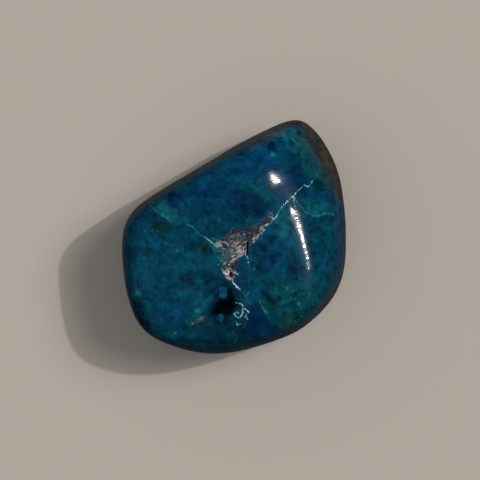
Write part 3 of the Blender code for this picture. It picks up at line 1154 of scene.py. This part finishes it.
def makeGrainTree():
    # scatters small lumps over a surface, most of them where its crust is thick
    tree = bpy.data.node_groups.new("scatterGrains", "GeometryNodeTree")
    kinds = {
        "Surface": "Geometry",
        "Density": "Float",
        "Smallest": "Float",
        "Largest": "Float",
        "Thinnest Crust": "Float",
        "Seed": "Int",
        "Material": "Material",
    }
    for label, kind in kinds.items():
        tree.interface.new_socket(label, in_out="INPUT", socket_type="NodeSocket" + kind)
    tree.interface.new_socket("Grains", in_out="OUTPUT", socket_type="NodeSocketGeometry")
    start = tree.nodes.new("NodeGroupInput").outputs
    end = tree.nodes.new("NodeGroupOutput")
    crust = addNode(tree, "GeometryNodeInputNamedAttribute", {"Name": "crust"}, data_type="FLOAT")
    thick = mathNode(tree, "SUBTRACT", crust.outputs[0], start["Thinnest Crust"])
    thick = mathNode(tree, "MAXIMUM", thick, 0.0)
    inputs = {
        "Mesh": start["Surface"],
        "Density": product(tree, thick, start["Density"]),
        "Seed": start["Seed"],
    }
    scatter = addNode(
        tree, "GeometryNodeDistributePointsOnFaces", inputs, distribute_method="RANDOM"
    )
    lump = addNode(tree, "GeometryNodeMeshIcoSphere", {"Radius": 1.0, "Subdivisions": 1})
    inputs = {"Min": start["Smallest"], "Max": start["Largest"], "Seed": 1}
    scale = addNode(tree, "FunctionNodeRandomValue", inputs, data_type="FLOAT_VECTOR")
    inputs = {"Min": (0.0, 0.0, 0.0), "Max": (6.28, 6.28, 6.28), "Seed": 2}
    turn = addNode(tree, "FunctionNodeRandomValue", inputs, data_type="FLOAT_VECTOR")
    inputs = {
        "Points": scatter.outputs["Points"],
        "Instance": lump.outputs["Mesh"],
        "Rotation": turn.outputs[0],
        "Scale": scale.outputs[0],
    }
    placed = addNode(tree, "GeometryNodeInstanceOnPoints", inputs)
    real = addNode(tree, "GeometryNodeRealizeInstances", {"Geometry": placed.outputs[0]})
    inputs = {"Geometry": real.outputs[0], "Material": start["Material"]}
    finished = addNode(tree, "GeometryNodeSetMaterial", inputs)
    tree.links.new(finished.outputs[0], end.inputs["Grains"])
    return tree


def makeGrains(stone):
    grains = addObject("hollowGrains", stone.data.copy())
    tree = makeGrainTree()
    modifier = grains.modifiers.new("grains", "NODES")
    modifier.node_group = tree
    values = {
        "Density": grainForm["perSquareMillimetre"] / toMetres**2,
        "Smallest": grainForm["smallest"] * toMetres,
        "Largest": grainForm["largest"] * toMetres,
        "Thinnest Crust": grainForm["thinnestCrust"],
        "Seed": grainForm["seed"],
        "Material": makeGrainMaterial(),
    }
    for item in tree.interface.items_tree:
        if item.in_out == "INPUT" and item.name in values:
            modifier[item.identifier] = values[item.name]
    seen = grains.evaluated_get(bpy.context.evaluated_depsgraph_get())
    mesh = bpy.data.meshes.new_from_object(seen)
    mesh.name = "hollowGrains"
    grains.modifiers.remove(modifier)
    grains.data = mesh
    print("grains:", len(mesh.polygons), "triangles")
    return grains


floorLook = {
    "halfSize": 1.5,  # metres
    "below": 0.00002,  # metres under the stone
    "colour": (176, 168, 160),
    "roughness": 0.9,
    "specular": 0.2,
}


def makeFloor():
    bm = bmesh.new()
    bmesh.ops.create_grid(bm, x_segments=1, y_segments=1, size=floorLook["halfSize"])
    mesh = bpy.data.meshes.new("floor")
    bm.to_mesh(mesh)
    bm.free()
    floor = addObject("floor", mesh)
    floor.location.z = -floorLook["below"]
    material, tree, sockets = newMaterial("paleFloor")
    sockets["Base Color"].default_value = srgb(*floorLook["colour"])
    sockets["Roughness"].default_value = floorLook["roughness"]
    sockets["Specular IOR Level"].default_value = floorLook["specular"]
    mesh.materials.append(material)
    floor.visible_glossy = False  # the polish mirrors the dim room, not the bright floor


# Suns: azimuth, elevation and width in degrees, strength, colour, and whether the polish
# mirrors them. Those that it doesn't mirror light the stone and soften its shadow.
lightSetup = {
    "suns": {
        "keyLight": (22.5, 52, 1.4, 1.05, (1.0, 0.96, 0.91), True),
        "softKey": (22.5, 52, 24, 1.4, (1.0, 0.96, 0.91), False),
        "fillLight": (150, 78, 130, 1.0, (0.92, 0.97, 1.0), False),
        "sideFill": (195, 36, 90, 0.42, (1.0, 0.98, 0.94), False),
    },
    "room": 0.009,
    "roomColour": (1.0, 0.95, 0.88, 1.0),
    # pale parts of the room that the rims mirror: azimuth, elevation, half width, brightness
    "glows": (
        (118, -60, 36, 0.036),
        (22, -58, 40, 0.025),
        (-75, -74, 30, 0.008),
    ),
}


def makeSuns():
    for name, row in lightSetup["suns"].items():
        azimuth, elevation, width, strength, colour, mirrored = row
        sun = bpy.data.lights.new(name, "SUN")
        sun.energy = strength
        sun.angle = math.radians(width)
        sun.color = colour
        lamp = addObject(name, sun)
        towards = Vector(lookingAlong(azimuth, elevation))
        lamp.rotation_euler = towards.to_track_quat("Z", "Y").to_euler()
        lamp.visible_glossy = mirrored


def makeRoom():
    world = bpy.data.worlds.new("dimRoom")
    world.use_nodes = True
    tree = world.node_tree
    background = tree.nodes["Background"]
    towards = addNode(tree, "ShaderNodeTexCoord").outputs["Generated"]
    light = lightSetup["room"]
    for azimuth, elevation, halfWidth, brightness in lightSetup["glows"]:
        inputs = {0: towards, 1: tuple(lookingAlong(azimuth, elevation))}
        near = addNode(tree, "ShaderNodeVectorMath", inputs, operation="DOT_PRODUCT")
        edge = math.cos(math.radians(halfWidth))
        glow = ramp(tree, near.outputs["Value"], edge, 1.0, 0.0, brightness)
        light = mathNode(tree, "ADD", glow, light)
    background.inputs["Color"].default_value = lightSetup["roomColour"]
    tree.links.new(light, background.inputs["Strength"])
    bpy.context.scene.world = world


# The camera looks straight down. The heart of the stone is left of and above the middle.
cameraSetup = {
    "lens": 200.0,
    "sensor": 36.0,
    "viewWidth": 54.72,
    "aside": (0.684, -0.399),
    "clip": (0.01, 5.0),  # metres
}


def makeCamera():
    data = bpy.data.cameras.new("camera")
    data.lens = cameraSetup["lens"]
    data.sensor_width = cameraSetup["sensor"]
    data.clip_start, data.clip_end = cameraSetup["clip"]
    camera = addObject("camera", data)
    heart = stoneForm["heart"]
    away = cameraSetup["viewWidth"] * cameraSetup["lens"] / cameraSetup["sensor"]
    aside = cameraSetup["aside"]
    place = Vector((heart[0] + aside[0], heart[1] + aside[1], heart[2] + away))
    camera.location = place * toMetres
    bpy.context.scene.camera = camera


bpy.context.scene.view_settings.view_transform = "Standard"
makeCamera()
makeSuns()
makeRoom()
makeFloor()
print("camera, lights and floor are up")

stone = makeStone()
stone.data.materials.append(makeStoneMaterial())
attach(stone, "root")
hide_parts("tumbled_stone")
print("stone is finished")

grains = makeGrains(stone)
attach(grains, "root")
print("grains are finished")
